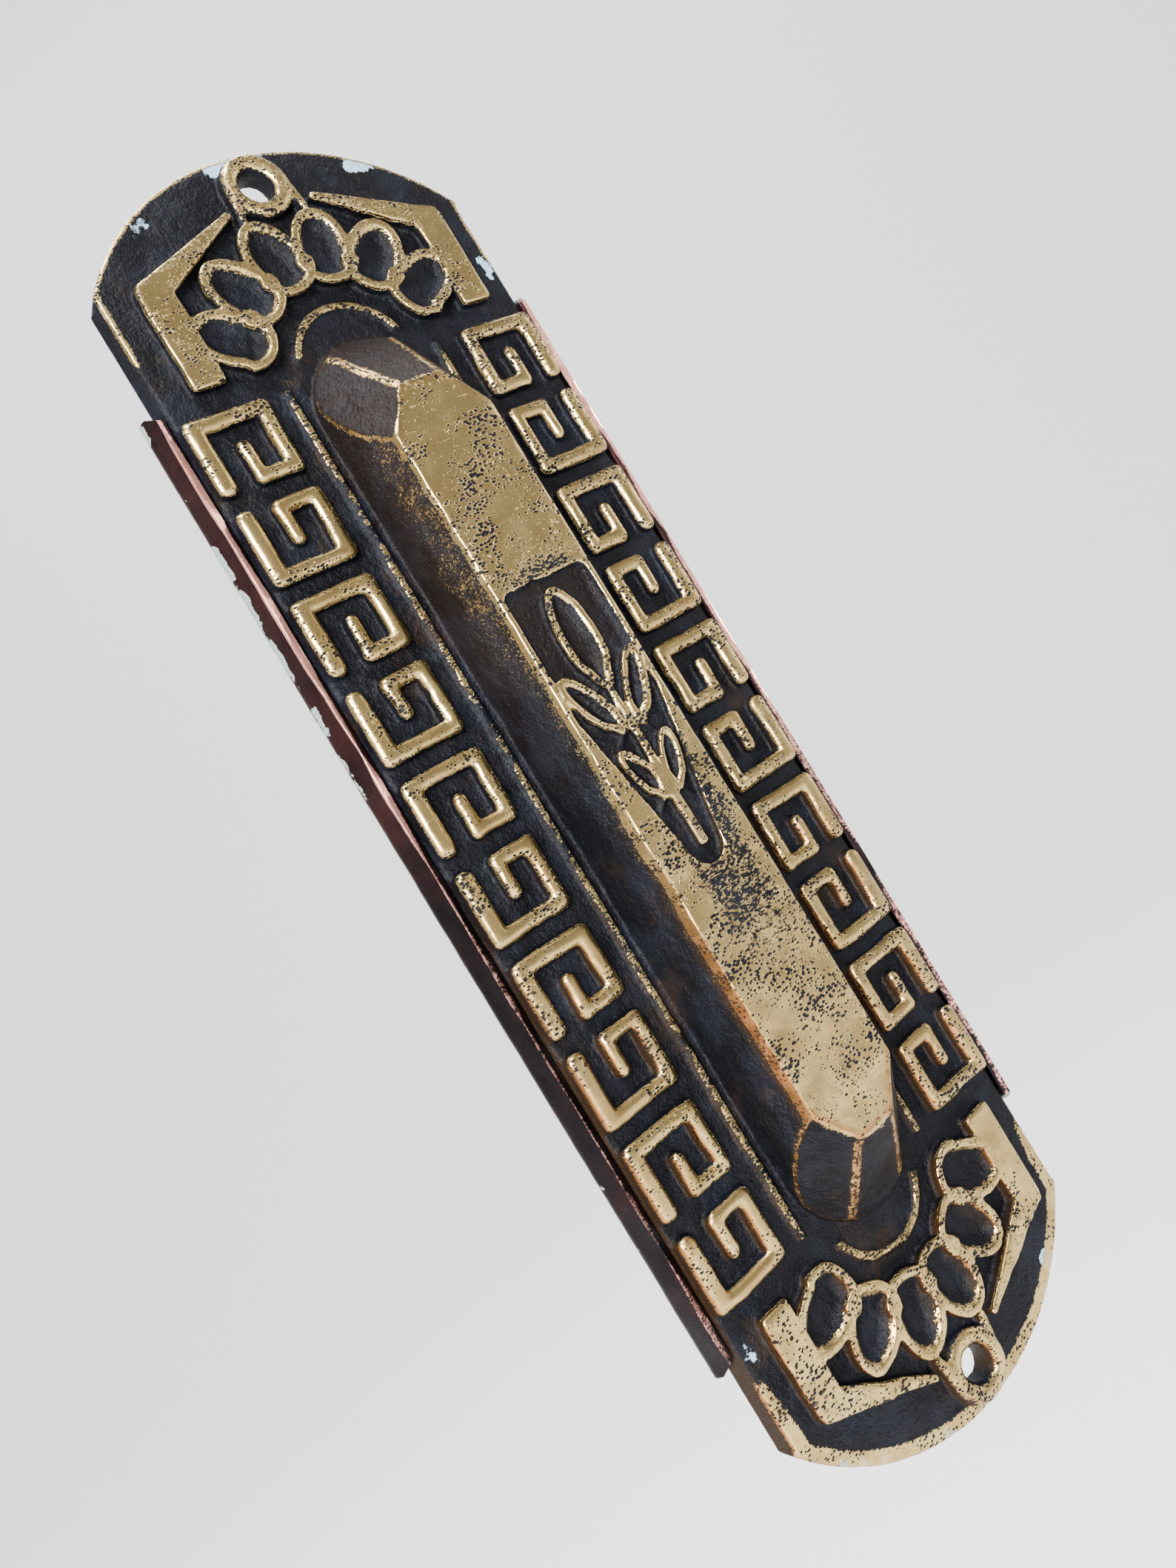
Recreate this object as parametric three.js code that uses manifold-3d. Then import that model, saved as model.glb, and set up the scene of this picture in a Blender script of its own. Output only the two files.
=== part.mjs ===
// Mezuzah case: a cast front cover with a hollow housing, a sheet copper back that
// slides on the cover's sloped edges, and a rolled parchment inside the housing.
//
// Millimetres, +Z up along the case, +X to the right, the front faces -Y.
// The origin is the middle of the back's outer face, the face against the doorpost.
// A "height" is a distance forward from that face, so height h lies at y = -h.

import * as THREE from 'three';
import { ConvexGeometry } from 'three/addons/geometries/ConvexGeometry.js';
import { mergeVertices } from 'three/addons/utils/BufferGeometryUtils.js';
import Module from 'manifold-3d';

// ---- driving dimensions ----

// cover plate
const plateLength = 99;
const plateWidth = 29.2; // across the plate's back face
const endRise = 7.8; // of each end's arc, from the shoulders to the tip
const plateThickness = 1.3;
const edgeSlope = 0.6; // how much narrower each long side is at the front

// housing
const housingHeight = 5.6; // above the plate
const footHalfWidth = 5.1;
const topHalfWidth = 3.75;
const footHalfLength = 34.4;
const topHalfLength = 28.65;
const facetTurn = 55.6; // degrees between two neighbouring end facets
const facetReach = 3.1; // from the centre of the top's round end to a facet's top edge
const facetFootInset = 0.25; // how far a facet's foot lies inside the round foot
const housingWall = 1.1;
const housingEndWall = 1.7;
const housingRoof = 1;

// relief on the plate
const reliefHeight = 0.9;
const fineHeight = 0.4; // of the beads and the thin arcs
const strokeWidth = 1.1;
const fineWidth = 0.45;
const beadGap = 0.95; // from the housing's foot to the middle of a bead line
const nailInset = 2.8; // from the plate's tip to the nail hole's axis
const nailHole = 2.4;
const eyeletWall = 1.3;
const eyeletLegLength = 3;
const eyeletLegSpread = 12; // degrees
const fretMargin = 0.1; // from the plate's front edge to the fret
const fretDepth = 6.1;
const fretInset = 1.4; // from the housing's tip to the fret's end
const fretUnits = 10; // along each side
const fretGap = 1.1; // between two fret units
const gableWidth = 2.4;
const gableMargin = 2.1; // from the plate's front edge to the gable's outer side
const gableTipInset = 1.5; // from the nail hole's axis to the gable's tip
const gableTipGap = 0.4; // from the eyelet to the gable's tip
const rosetteInset = 1.4; // from the housing's tip to the rosette's centre
const petalsPerSide = 3;
const petalPitch = 25.5; // degrees
const petalStart = 5.5; // from the rosette's centre to a petal's inner end
const petalEnd = 11.1;
const petalWidth = 4.1;
const petalRim = 0.85;
const rosetteArcRadius = 4.15;
const rosetteArcSweep = 72; // degrees to each side

// sunk field and sprig on the housing's top
const fieldTop = 13;
const fieldBottom = -8.4;
const fieldDepth = 0.5;
const fieldRim = 0.35; // left beside the field at its top
const fieldFootHalfWidth = 1.3;
const sprigHeight = 0.55; // above the field
const sprigWire = 0.6;
const leaves = [
  { x: 0, z: 8.1, length: 8, width: 3.1, lean: 0 },
  { x: 1.95, z: 4, length: 5.6, width: 1.9, lean: 24 },
  { x: -1.95, z: 4, length: 5.6, width: 1.9, lean: -24 },
  { x: 1.5, z: -1, length: 4.8, width: 1.7, lean: 20 },
  { x: -1.5, z: -1, length: 4.8, width: 1.7, lean: -20 },
];
const stemBottom = -7.5;
const stemTop = 4.6;

// sliding back
const backThickness = 0.5;
const backInset = 6.8; // from the plate's shoulders to the back's ends
const backShift = -0.85; // the back stands this far below the middle at rest
const lipOverlap = 0.15; // how far the lips stand above the plate's front face
const slideClearance = 0.3;
const cornerCut = 0.7; // on the lips' ends

// parchment
const parchmentHeadroom = 4.7; // left above the parchment
const parchmentThickness = 0.3;
const parchmentGap = 0.08; // between two turns
const parchmentCore = 0.9;
const parchmentClearance = 0.3;

// ---- heights and lengths that follow ----

const plateBack = backThickness + slideClearance;
const plateFront = plateBack + plateThickness;
const housingTop = plateFront + housingHeight;
const cavityTop = housingTop - housingRoof;
const fieldFloor = housingTop - fieldDepth;
const eyeletRadius = nailHole / 2 + eyeletWall;
const halfPlate = plateWidth / 2;
const frontHalfWidth = halfPlate - edgeSlope;
const shoulder = plateLength / 2 - endRise;
const nailPlace = plateLength / 2 - nailInset;
const backLength = 2 * (shoulder - backInset);
const footEndCentre = footHalfLength - footHalfWidth;
const topEndCentre = topHalfLength - topHalfWidth;
const fretLength = 2 * (footHalfLength - fretInset);
const rosetteCentre = footHalfLength - rosetteInset;
const sink = 0.2; // raised details start this far below the face that carries them
const past = 1; // cutters run this far past what they cut

const wasm = await Module();
wasm.setup();

// ---- solids ----

// A manifold solid from a closed three.js geometry.
function solid(geometry) {
  const bare = geometry.clone();
  bare.deleteAttribute('normal');
  bare.deleteAttribute('uv');
  const merged = mergeVertices(bare, 1e-5);
  const mesh = new wasm.Mesh({
    numProp: 3,
    vertProperties: new Float32Array(merged.attributes.position.array),
    triVerts: new Uint32Array(merged.index.array),
  });
  return new wasm.Manifold(mesh);
}

// The three.js geometry of a manifold solid.
function geometryOf(body) {
  const mesh = body.getMesh();
  const geometry = new THREE.BufferGeometry();
  geometry.setAttribute('position', new THREE.BufferAttribute(mesh.vertProperties, 3));
  geometry.setIndex(new THREE.BufferAttribute(mesh.triVerts, 1));
  geometry.computeVertexNormals();
  return geometry;
}

function drawnOut(shape, depth, curveSegments) {
  return new THREE.ExtrudeGeometry(shape, { depth, bevelEnabled: false, curveSegments });
}

// A shape drawn in X and Z, drawn out between two heights.
function raisedGeometry(shape, low, high, curveSegments) {
  const geometry = drawnOut(shape, high - low, curveSegments);
  geometry.translate(0, 0, low);
  geometry.rotateX(Math.PI / 2);
  return geometry;
}

function raised(shape, low, high, curveSegments = 12) {
  return solid(raisedGeometry(shape, low, high, curveSegments));
}

// A section drawn in X and height, drawn out along Z about the middle.
function alongZ(section, length) {
  const geometry = drawnOut(section, length, 6);
  geometry.rotateX(Math.PI);
  geometry.translate(0, 0, length / 2);
  return geometry;
}

// A straight bar on the plate between two points, with square ends past them.
function bar(x0, z0, x1, z1, width, low, high) {
  const run = Math.hypot(x1 - x0, z1 - z0);
  const geometry = new THREE.BoxGeometry(width, high - low, run + width);
  geometry.rotateY(Math.atan2(x1 - x0, z1 - z0));
  geometry.translate((x0 + x1) / 2, -(low + high) / 2, (z0 + z1) / 2);
  return solid(geometry);
}

function joined(bodies) {
  return bodies.reduce((sum, body) => sum.add(body));
}

// The points of an oblong ring with round ends, at one height.
function oblong(halfWidth, endCentre, height, steps = 20) {
  const points = [];
  for (const end of [1, -1]) {
    for (let i = 0; i <= steps; i += 1) {
      const turn = (i / steps) * Math.PI;
      const x = end * halfWidth * Math.cos(turn);
      const z = end * (endCentre + halfWidth * Math.sin(turn));
      points.push(new THREE.Vector3(x, -height, z));
    }
  }
  return points;
}

const radians = THREE.MathUtils.degToRad;

// ---- front cover ----

function plate() {
  const radius = (halfPlate ** 2 + endRise ** 2) / (2 * endRise);
  const centre = plateLength / 2 - radius;
  const sweep = 2 * Math.atan(endRise / halfPlate);
  const outline = new THREE.Shape();
  outline.moveTo(halfPlate, -shoulder);
  outline.lineTo(halfPlate, shoulder);
  outline.absarc(0, centre, radius, Math.PI / 2 - sweep, Math.PI / 2 + sweep, false);
  outline.lineTo(-halfPlate, -shoulder);
  outline.absarc(0, -centre, radius, -Math.PI / 2 - sweep, -Math.PI / 2 + sweep, false);
  let body = raised(outline, plateBack, plateFront, 32);
  const slope = edgeSlope / plateThickness;
  for (const side of [1, -1]) {
    const waste = new THREE.Shape();
    waste.moveTo(side * (halfPlate + past * slope), plateBack - past);
    waste.lineTo(side * (frontHalfWidth - past * slope), plateFront + past);
    waste.lineTo(side * (halfPlate + past), plateFront + past);
    waste.lineTo(side * (halfPlate + past), plateBack - past);
    body = body.subtract(solid(alongZ(waste, plateLength)));
  }
  return body;
}

// The housing's outside: a sloped oblong with three flat facets at each end.
function housing() {
  let body = solid(new ConvexGeometry([
    ...oblong(footHalfWidth, footEndCentre, plateFront - sink),
    ...oblong(footHalfWidth, footEndCentre, plateFront),
    ...oblong(topHalfWidth, topEndCentre, housingTop),
  ]));
  for (const end of [1, -1]) {
    for (const step of [-1, 0, 1]) {
      const turn = radians(step * facetTurn);
      const footReach = (footEndCentre - topEndCentre) * Math.cos(turn) + footHalfWidth - facetFootInset;
      const outward = new THREE.Vector3(Math.sin(turn), 0, end * Math.cos(turn));
      const normal = outward.clone().multiplyScalar(housingHeight);
      normal.y = -(footReach - facetReach);
      normal.normalize();
      const cutter = new THREE.BoxGeometry(4 * footHalfWidth, 4 * footHalfWidth, 2 * footHalfWidth);
      cutter.translate(0, 0, footHalfWidth);
      const facing = new THREE.Quaternion().setFromUnitVectors(new THREE.Vector3(0, 0, 1), normal);
      cutter.applyQuaternion(facing);
      const edge = outward.multiplyScalar(facetReach);
      cutter.translate(edge.x, -housingTop, end * topEndCentre + edge.z);
      body = body.subtract(solid(cutter));
    }
  }
  return body;
}

// The room inside the housing, open at the cover's back.
const flankSlope = (footHalfWidth - topHalfWidth) / housingHeight;
const facetFootLength = footHalfLength - facetFootInset;
const facetTopLength = topEndCentre + facetReach;
const endSlope = (facetFootLength - facetTopLength) / housingHeight;
const cavityFootHalfWidth = footHalfWidth - housingWall;
const cavityTopHalfWidth = topHalfWidth + flankSlope * housingRoof - housingWall;
const cavityFootHalfLength = facetFootLength - housingEndWall;
const cavityTopHalfLength = facetTopLength + endSlope * housingRoof - housingEndWall;

function cavity() {
  const footCentre = cavityFootHalfLength - cavityFootHalfWidth;
  const topCentre = cavityTopHalfLength - cavityTopHalfWidth;
  return solid(new ConvexGeometry([
    ...oblong(cavityFootHalfWidth, footCentre, plateBack - past, 12),
    ...oblong(cavityFootHalfWidth, footCentre, plateBack, 12),
    ...oblong(cavityTopHalfWidth, topCentre, cavityTop, 12),
  ]));
}

// A running band of square hooks along each long side, every second one turned round.
function fret() {
  const low = plateFront - sink;
  const high = plateFront + reliefHeight;
  const outer = frontHalfWidth - fretMargin - strokeWidth / 2;
  const inner = outer - (fretDepth - strokeWidth);
  const middle = (outer + inner) / 2;
  const pitch = fretLength / fretUnits;
  const reach = (pitch - fretGap - strokeWidth) / 2;
  const bars = [];
  for (const side of [1, -1]) {
    for (let i = 0; i < fretUnits; i += 1) {
      const z = side * (-fretLength / 2 + (i + 0.5) * pitch);
      const hand = i % 2 === 0 ? side : -side;
      const near = z - hand * reach;
      const far = z + hand * reach;
      const path = [[outer, far], [outer, near], [inner, near], [inner, far], [middle, far], [middle, z]];
      for (let k = 1; k < path.length; k += 1) {
        const [x0, z0] = path[k - 1];
        const [x1, z1] = path[k];
        bars.push(bar(side * x0, z0, side * x1, z1, strokeWidth, low, high));
      }
    }
  }
  return bars;
}

// One raised line beside each flank of the housing.
function beads() {
  const x = footHalfWidth + beadGap;
  const reach = fretLength / 2;
  const low = plateFront - sink;
  const high = plateFront + fineHeight;
  return [1, -1].map((side) => bar(side * x, -reach, side * x, reach, fineWidth, low, high));
}

// The gable-shaped band round each end, in two halves that thin out towards the eyelet.
function gables() {
  const outer = frontHalfWidth - gableMargin;
  const inner = outer - gableWidth;
  const foot = fretLength / 2 + fretGap;
  const tipX = eyeletRadius + gableTipGap;
  const bodies = [];
  for (const end of [1, -1]) {
    for (const side of [1, -1]) {
      const outline = new THREE.Shape();
      outline.moveTo(side * inner, end * foot);
      outline.lineTo(side * outer, end * foot);
      outline.lineTo(side * outer, end * shoulder);
      outline.lineTo(side * tipX, end * (nailPlace - gableTipInset));
      outline.lineTo(side * inner, end * (shoulder - gableWidth / 2));
      bodies.push(raised(outline, plateFront - sink, plateFront + reliefHeight));
    }
  }
  return bodies;
}

// A pointed oval with its long axis along Z, round its own middle.
function leafOutline(Kind, length, width) {
  const outline = new Kind();
  const half = length / 2;
  outline.moveTo(0, -half);
  outline.bezierCurveTo(width * 0.62, -half * 0.45, width * 0.72, half * 0.75, 0, half);
  outline.bezierCurveTo(-width * 0.72, half * 0.75, -width * 0.62, -half * 0.45, 0, -half);
  return outline;
}

// A raised rim in the shape of a leaf. It leans away from +Z towards +X.
function leafRim(x, z, length, width, rim, lean, low, high) {
  const outline = leafOutline(THREE.Shape, length, width);
  outline.holes.push(leafOutline(THREE.Path, length - 2.4 * rim, width - 2 * rim));
  const geometry = raisedGeometry(outline, low, high, 7);
  geometry.rotateY(radians(lean));
  geometry.translate(x, 0, z);
  return solid(geometry);
}

// Half a rosette round each end of the housing, with a thin arc inside it.
function rosettes() {
  const low = plateFront - sink;
  const middle = (petalStart + petalEnd) / 2;
  const bodies = [];
  for (const end of [0, 180]) {
    const centre = end === 0 ? rosetteCentre : -rosetteCentre;
    for (let i = -petalsPerSide; i < petalsPerSide; i += 1) {
      const turn = end + (i + 0.5) * petalPitch;
      const x = middle * Math.sin(radians(turn));
      const z = centre + middle * Math.cos(radians(turn));
      const length = petalEnd - petalStart;
      bodies.push(leafRim(x, z, length, petalWidth, petalRim, turn, low, plateFront + reliefHeight));
    }
    const start = radians(90 - end - rosetteArcSweep);
    const stop = radians(90 - end + rosetteArcSweep);
    const arc = new THREE.Shape();
    arc.absarc(0, centre, rosetteArcRadius + fineWidth / 2, start, stop, false);
    arc.absarc(0, centre, rosetteArcRadius - fineWidth / 2, stop, start, true);
    bodies.push(raised(arc, low, plateFront + fineHeight, 16));
  }
  return bodies;
}

// A ring round each nail hole, with two short legs that run towards the rosette.
function eyelets() {
  const low = plateFront - sink;
  const high = plateFront + reliefHeight;
  const bodies = [];
  for (const end of [1, -1]) {
    const z = end * nailPlace;
    const ring = new THREE.Shape();
    ring.absarc(0, z, eyeletRadius, 0, 2 * Math.PI, false);
    bodies.push(raised(ring, low, high, 28));
    for (const side of [1, -1]) {
      const x = side * (eyeletRadius - strokeWidth / 2);
      const spread = side * eyeletLegLength * Math.sin(radians(eyeletLegSpread));
      const run = end * eyeletLegLength * Math.cos(radians(eyeletLegSpread));
      bodies.push(bar(x, z, x + spread, z - run, strokeWidth * 0.8, low, high));
    }
  }
  return bodies;
}

function nailHoles() {
  return [1, -1].map((end) => {
    const hole = new THREE.Shape();
    hole.absarc(0, end * nailPlace, nailHole / 2, 0, 2 * Math.PI, false);
    return raised(hole, plateBack - past, plateFront + reliefHeight + past, 24);
  });
}

// The sunk field on the housing's top, wide at its head and narrow at its foot.
function field() {
  const wide = topHalfWidth - fieldRim;
  const waist = (fieldTop + fieldBottom) / 2;
  const footCentre = fieldBottom + fieldFootHalfWidth;
  const outline = new THREE.Shape();
  outline.moveTo(wide, fieldTop);
  outline.lineTo(-wide, fieldTop);
  outline.bezierCurveTo(-wide, waist, -fieldFootHalfWidth, waist, -fieldFootHalfWidth, footCentre);
  outline.absarc(0, footCentre, fieldFootHalfWidth, Math.PI, 2 * Math.PI, false);
  outline.bezierCurveTo(fieldFootHalfWidth, waist, wide, waist, wide, fieldTop);
  return raised(outline, fieldFloor, housingTop + past, 10);
}

function sprig() {
  const low = fieldFloor - sink;
  const high = fieldFloor + sprigHeight;
  const rims = leaves.map((leaf) => (
    leafRim(leaf.x, leaf.z, leaf.length, leaf.width, sprigWire, leaf.lean, low, high)
  ));
  return [...rims, bar(0, stemBottom, 0, stemTop, sprigWire, low, high)];
}

function frontCover() {
  const blank = joined([plate(), housing(), ...fret(), ...beads(), ...gables(), ...rosettes(), ...eyelets()]);
  const cut = blank.subtract(field()).subtract(cavity()).subtract(joined(nailHoles()));
  return joined([cut, ...sprig()]);
}

// ---- sliding back ----

// A channel with its walls leaning in over the plate's sloped edges.
function slidingBack() {
  const lean = Math.atan(edgeSlope / plateThickness);
  const across = (distance) => distance / Math.cos(lean);
  const innerAt = (height) => (
    halfPlate + across(slideClearance) - (height - plateBack) * Math.tan(lean)
  );
  const outerAt = (height) => innerAt(height) + across(backThickness);
  const lip = plateFront + lipOverlap;
  const section = new THREE.Shape();
  const fold = 2 * backThickness;
  section.moveTo(0, 0);
  section.lineTo(outerAt(fold) - fold * 0.6, 0);
  section.quadraticCurveTo(outerAt(fold * 0.3), 0, outerAt(fold), fold);
  section.lineTo(outerAt(lip), lip);
  section.lineTo(innerAt(lip), lip);
  section.lineTo(innerAt(backThickness), backThickness);
  section.lineTo(-innerAt(backThickness), backThickness);
  section.lineTo(-innerAt(lip), lip);
  section.lineTo(-outerAt(lip), lip);
  section.lineTo(-outerAt(fold), fold);
  section.quadraticCurveTo(-outerAt(fold * 0.3), 0, -(outerAt(fold) - fold * 0.6), 0);
  let body = solid(alongZ(section, backLength));
  for (const side of [1, -1]) {
    for (const end of [1, -1]) {
      const cutter = new THREE.BoxGeometry(4 * cornerCut, 8 * cornerCut, 2 * cornerCut);
      cutter.translate(0, 0, cornerCut);
      cutter.rotateX(end * radians(45));
      if (end < 0) cutter.rotateX(Math.PI);
      cutter.translate(side * outerAt(lip), -lip, end * (backLength / 2 - cornerCut));
      body = body.subtract(solid(cutter));
    }
  }
  return body;
}

// ---- parchment ----

// The roll fills the hollow's depth or its width, whichever is less, with a clearance all round.
const hollowDepth = cavityTop - backThickness;
const cavityFlank = (cavityFootHalfWidth - cavityTopHalfWidth) / (cavityTop - plateBack);
const middleHeight = backThickness + hollowDepth / 2;
const middleHalfWidth = cavityFootHalfWidth - (middleHeight - plateBack) * cavityFlank;
const flankDistance = middleHalfWidth * Math.cos(Math.atan(cavityFlank));
const parchmentRadius = Math.min(hollowDepth / 2, flankDistance) - parchmentClearance;
const parchmentAxis = backThickness + parchmentClearance + parchmentRadius;

// It stands on the hollow's lower end, which slopes in towards the roof.
const cavitySlope = (cavityFootHalfLength - cavityTopHalfLength) / (cavityTop - plateBack);
const endAtParchment = cavityFootHalfLength - (parchmentAxis + parchmentRadius - plateBack) * cavitySlope;
const parchmentFoot = -(endAtParchment - parchmentClearance);
const parchmentHeight = 2 * (endAtParchment - parchmentClearance) - parchmentHeadroom;

// A sheet rolled on itself: its section is one long spiral strip.
function parchmentScroll() {
  const pitch = parchmentThickness + parchmentGap;
  const turns = (parchmentRadius - parchmentCore - parchmentThickness) / pitch;
  const steps = Math.ceil(20 * turns);
  const outside = [];
  const inside = [];
  for (let i = 0; i <= steps; i += 1) {
    const turn = (i / steps) * turns;
    const radius = parchmentCore + turn * pitch;
    const direction = new THREE.Vector2(Math.cos(turn * 2 * Math.PI), Math.sin(turn * 2 * Math.PI));
    inside.push(direction.clone().multiplyScalar(radius));
    outside.push(direction.clone().multiplyScalar(radius + parchmentThickness));
  }
  const section = new THREE.Shape([...outside, ...inside.reverse()]);
  return drawnOut(section, parchmentHeight, 1);
}

// ---- the object ----

function piece(name, geometry, colour, roughness, metalness) {
  const material = new THREE.MeshStandardMaterial({ color: colour, roughness, metalness });
  const mesh = new THREE.Mesh(geometry, material);
  mesh.name = name;
  return mesh;
}

const mezuzahCase = new THREE.Group();

const cover = new THREE.Group();
mezuzahCase.add(cover);
cover.add(piece('front_cover', geometryOf(frontCover()), 0xb39a63, 0.38, 1));

const scroll = piece('parchment_scroll', parchmentScroll(), 0xdccba0, 0.85, 0);
scroll.position.set(0, -parchmentAxis, parchmentFoot);
cover.add(scroll);

const back = piece('sliding_back', geometryOf(slidingBack()), 0x8a4a3a, 0.5, 1);
back.position.set(0, 0, backShift);
mezuzahCase.add(back);

export default mezuzahCase;
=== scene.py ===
import math
import time

import bpy
import numpy as np
from mathutils import Matrix, Vector


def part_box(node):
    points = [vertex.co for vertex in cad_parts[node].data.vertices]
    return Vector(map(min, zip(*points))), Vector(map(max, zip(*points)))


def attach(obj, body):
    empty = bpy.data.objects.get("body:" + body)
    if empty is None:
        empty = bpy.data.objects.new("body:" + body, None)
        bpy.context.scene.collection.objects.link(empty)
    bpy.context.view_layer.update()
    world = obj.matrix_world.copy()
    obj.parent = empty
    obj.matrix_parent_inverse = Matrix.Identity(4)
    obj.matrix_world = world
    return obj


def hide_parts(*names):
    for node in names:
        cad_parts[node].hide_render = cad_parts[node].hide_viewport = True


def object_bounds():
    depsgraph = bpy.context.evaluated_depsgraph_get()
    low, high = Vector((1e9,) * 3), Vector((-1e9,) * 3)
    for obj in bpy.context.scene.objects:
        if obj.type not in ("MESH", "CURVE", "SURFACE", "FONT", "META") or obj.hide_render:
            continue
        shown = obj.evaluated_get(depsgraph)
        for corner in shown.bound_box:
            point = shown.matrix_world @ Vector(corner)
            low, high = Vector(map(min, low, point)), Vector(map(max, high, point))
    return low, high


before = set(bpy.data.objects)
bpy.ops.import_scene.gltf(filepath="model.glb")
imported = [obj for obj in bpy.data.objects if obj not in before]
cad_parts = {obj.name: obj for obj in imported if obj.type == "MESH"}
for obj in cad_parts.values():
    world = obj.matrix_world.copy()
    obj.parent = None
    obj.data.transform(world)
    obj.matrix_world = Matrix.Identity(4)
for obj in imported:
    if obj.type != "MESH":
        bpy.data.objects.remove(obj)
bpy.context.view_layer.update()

# Mezuzah case: a cast brass cover, a sliding copper back and a rolled parchment.
# Pieces are modelled in millimetres, with the plate's front at y = -2.1, and brought to metres at the end.
# The rise of a place is its height above the plate's front.

startTime = time.time()


def say(text):
    print(f"{time.time() - startTime:6.1f} s  {text}")


def clearSelection():
    if bpy.context.mode != "OBJECT":
        bpy.ops.object.mode_set(mode="OBJECT")
    bpy.ops.object.select_all(action="DESELECT")


def pickOnly(obj):
    clearSelection()
    obj.select_set(True)
    bpy.context.view_layer.objects.active = obj


def pickPoints(obj, test=None):
    # selects the vertices that pass the test, or all of them, and the edges and faces between them
    pickOnly(obj)
    mesh = obj.data
    chosen = [test is None or bool(test(v.co)) for v in mesh.vertices]
    mesh.vertices.foreach_set("select", chosen)
    mesh.edges.foreach_set("select", [all(chosen[i] for i in e.vertices) for e in mesh.edges])
    mesh.polygons.foreach_set("select", [all(chosen[i] for i in p.vertices) for p in mesh.polygons])
    bpy.ops.object.mode_set(mode="EDIT")
    bpy.ops.mesh.select_mode(type="VERT")


def endEdit():
    bpy.ops.object.mode_set(mode="OBJECT")


def settle(name, scale=(1, 1, 1)):
    # names the piece that was just added and applies its size and place
    obj = bpy.context.object
    obj.name = name
    obj.scale = scale
    bpy.ops.object.transform_apply(location=True, rotation=True, scale=True)
    return obj


def place(obj, location=(0, 0, 0), turn=0.0):
    # turns a piece in the plane of the plate, moves it and applies both
    pickOnly(obj)
    obj.rotation_euler = (0, turn, 0)
    obj.location = location
    bpy.ops.object.transform_apply(location=True, rotation=True, scale=True)
    return obj


def copyOf(obj):
    twin = obj.copy()
    twin.data = obj.data.copy()
    bpy.context.collection.objects.link(twin)
    return twin


def joinAll(pieces, name):
    clearSelection()
    for piece in pieces:
        piece.select_set(True)
    bpy.context.view_layer.objects.active = pieces[0]
    bpy.ops.object.join()
    pieces[0].name = name
    return pieces[0]


def pull(*move):
    # extrudes what is selected
    bpy.ops.mesh.extrude_region_move(TRANSFORM_OT_translate={"value": move})


def sliceOff(obj, point, normal, **sides):
    # cuts a piece along a plane and drops one side of it
    pickPoints(obj)
    bpy.ops.mesh.bisect(plane_co=point, plane_no=normal, **sides)
    endEdit()


def turnFacesOut(obj):
    pickPoints(obj)
    bpy.ops.mesh.normals_make_consistent(inside=False)
    endEdit()


def applyModifier(obj, kind, **values):
    pickOnly(obj)
    modifier = obj.modifiers.new(kind.title(), kind)
    for key, value in values.items():
        setattr(modifier, key, value)
    bpy.ops.object.modifier_apply(modifier=modifier.name)


def cutWith(obj, cutter, operation="DIFFERENCE"):
    applyModifier(obj, "BOOLEAN", object=cutter, operation=operation, solver="EXACT")
    bpy.data.objects.remove(cutter, do_unlink=True)


def roughen(obj, name, size, depth, strength, direction="NORMAL", group=""):
    # moves the points by a cloud pattern, along their normals or any way
    texture = bpy.data.textures.new(name, "CLOUDS")
    texture.noise_scale = size
    texture.noise_depth = depth
    applyModifier(obj, "DISPLACE", texture=texture, texture_coords="LOCAL", direction=direction,
                  mid_level=0.5, strength=strength, vertex_group=group)


def finishPiece(obj, material, sharpAngle=None):
    # brings a piece to metres, smooths its shading and gives it its material
    pickOnly(obj)
    obj.scale = (0.001, 0.001, 0.001)
    bpy.ops.object.transform_apply(location=True, rotation=True, scale=True)
    if sharpAngle:
        bpy.ops.object.shade_smooth_by_angle(angle=math.radians(sharpAngle))
    else:
        bpy.ops.object.shade_smooth()
    obj.data.materials.clear()
    obj.data.materials.append(material)


def smoothstep(value, low, high):
    t = np.clip((value - low) / (high - low), 0, 1)
    return t * t * (3 - 2 * t)


def meshArrays(mesh):
    points = np.empty(len(mesh.vertices) * 3, np.float32)
    mesh.vertices.foreach_get("co", points)
    normals = np.empty(len(mesh.vertices) * 3, np.float32)
    mesh.vertices.foreach_get("normal", normals)
    edges = np.empty(len(mesh.edges) * 2, np.int32)
    mesh.edges.foreach_get("vertices", edges)
    return points.reshape(-1, 3).astype(float), normals.reshape(-1, 3).astype(float), edges.reshape(-1, 2)


def writeWearAndLight(mesh, red, green, blue):
    colours = np.ones((len(mesh.vertices), 4), np.float32)
    for channel, values in enumerate((red, green, blue)):
        colours[:, channel] = np.clip(values, 0, 1)
    layer = mesh.color_attributes.new("wearAndLightMasks", "FLOAT_COLOR", "POINT")
    layer.data.foreach_set("color", colours.ravel())


cameraView = {
    "position": (-0.0421, -0.0737, -0.0011),
    "ahead": (0.4889, 0.8722, 0.0148),
    "right": (0.7483, -0.4106, -0.5210),    # rolled, so that the top of the case leans to the left
    "focal": 28.06,
    "sensor": 36.0,
    "clipStart": 0.001,
}


def makeCamera():
    v = cameraView
    bpy.ops.object.camera_add(location=v["position"])
    camera = bpy.context.object
    camera.name = "mainCamera"
    camera.data.lens = v["focal"]
    camera.data.sensor_width = v["sensor"]
    camera.data.clip_start = v["clipStart"]
    ahead = Vector(v["ahead"]).normalized()
    up = Vector(v["right"]).cross(ahead).normalized()
    right = ahead.cross(up).normalized()
    turn = Matrix((right, up, -ahead)).transposed().to_4x4()
    camera.matrix_world = Matrix.Translation(v["position"]) @ turn
    bpy.context.scene.camera = camera


makeCamera()


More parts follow.
